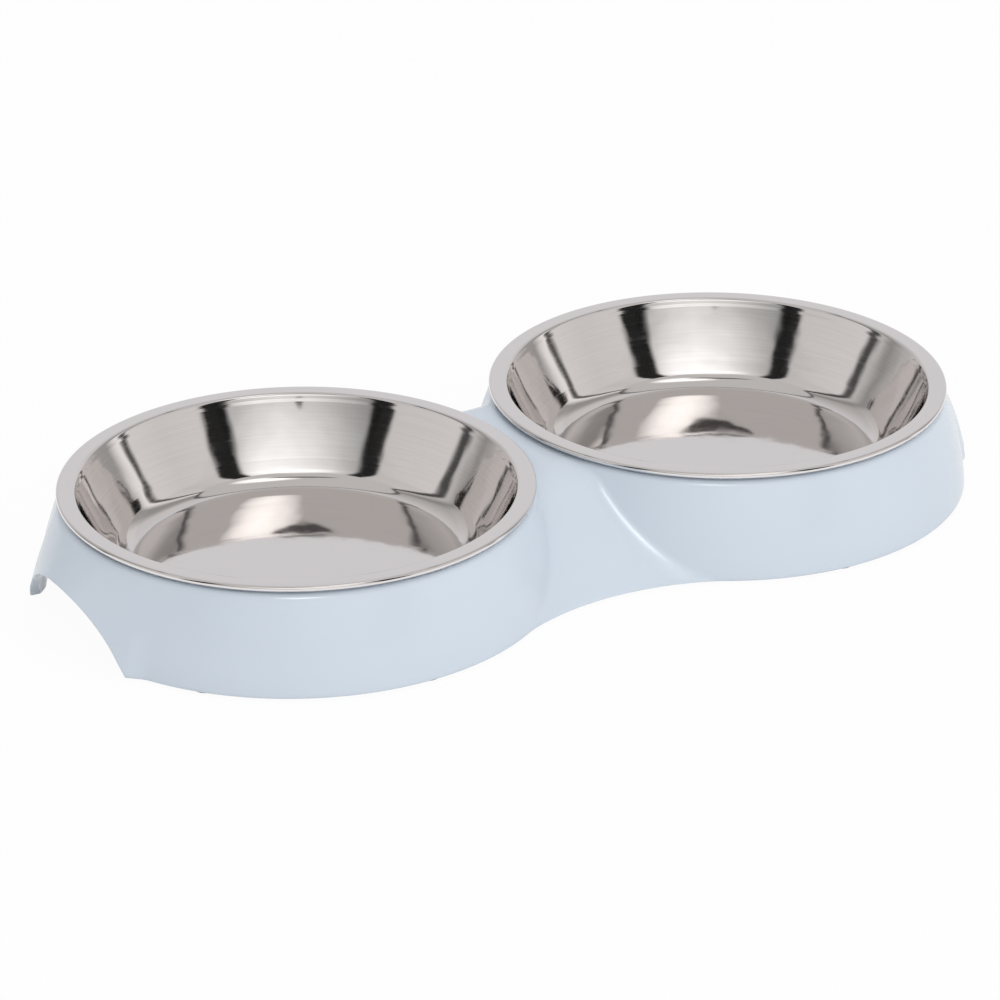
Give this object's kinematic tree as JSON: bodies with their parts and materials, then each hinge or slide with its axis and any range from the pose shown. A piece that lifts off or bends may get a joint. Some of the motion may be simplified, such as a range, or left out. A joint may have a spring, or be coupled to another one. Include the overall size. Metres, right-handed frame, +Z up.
{
  "type": "double pet bowl",
  "caption": "Low waisted plastic stand with shallow lift-out steel bowls side by side, an arched finger gap at each end and small rubber feet under its edge.",
  "frame": {"origin": "centre of the outline, on the plane that the feet stand on", "axes": "+X along the row of bowls towards the right bowl, +Y towards the rear, +Z up"},
  "size_m": [0.347, 0.1748, 0.0372],
  "materials": {
    "stand_plastic": "smooth gloss, very pale blue-grey",
    "bowl_steel": "mirror-polished stainless steel",
    "foot_rubber": "matt"
  },
  "bodies": {
    "stand_body": {"stand": "stand_plastic", "left_outer_front_foot": "foot_rubber", "left_outer_rear_foot": "foot_rubber", "left_inner_front_foot": "foot_rubber", "left_inner_rear_foot": "foot_rubber", "right_outer_front_foot": "foot_rubber", "right_outer_rear_foot": "foot_rubber", "right_inner_front_foot": "foot_rubber", "right_inner_rear_foot": "foot_rubber"},
    "left_bowl_body": {"left_bowl": "bowl_steel"},
    "right_bowl_body": {"right_bowl": "bowl_steel"}
  },
  "joints": [
    {"name": "left_bowl_lift", "type": "slide", "parent": "stand_body", "child": "left_bowl_body", "axis": [0, 0, 1], "range_m": [0, 0.06]},
    {"name": "right_bowl_lift", "type": "slide", "parent": "stand_body", "child": "right_bowl_body", "axis": [0, 0, 1], "range_m": [0, 0.06]}
  ]
}
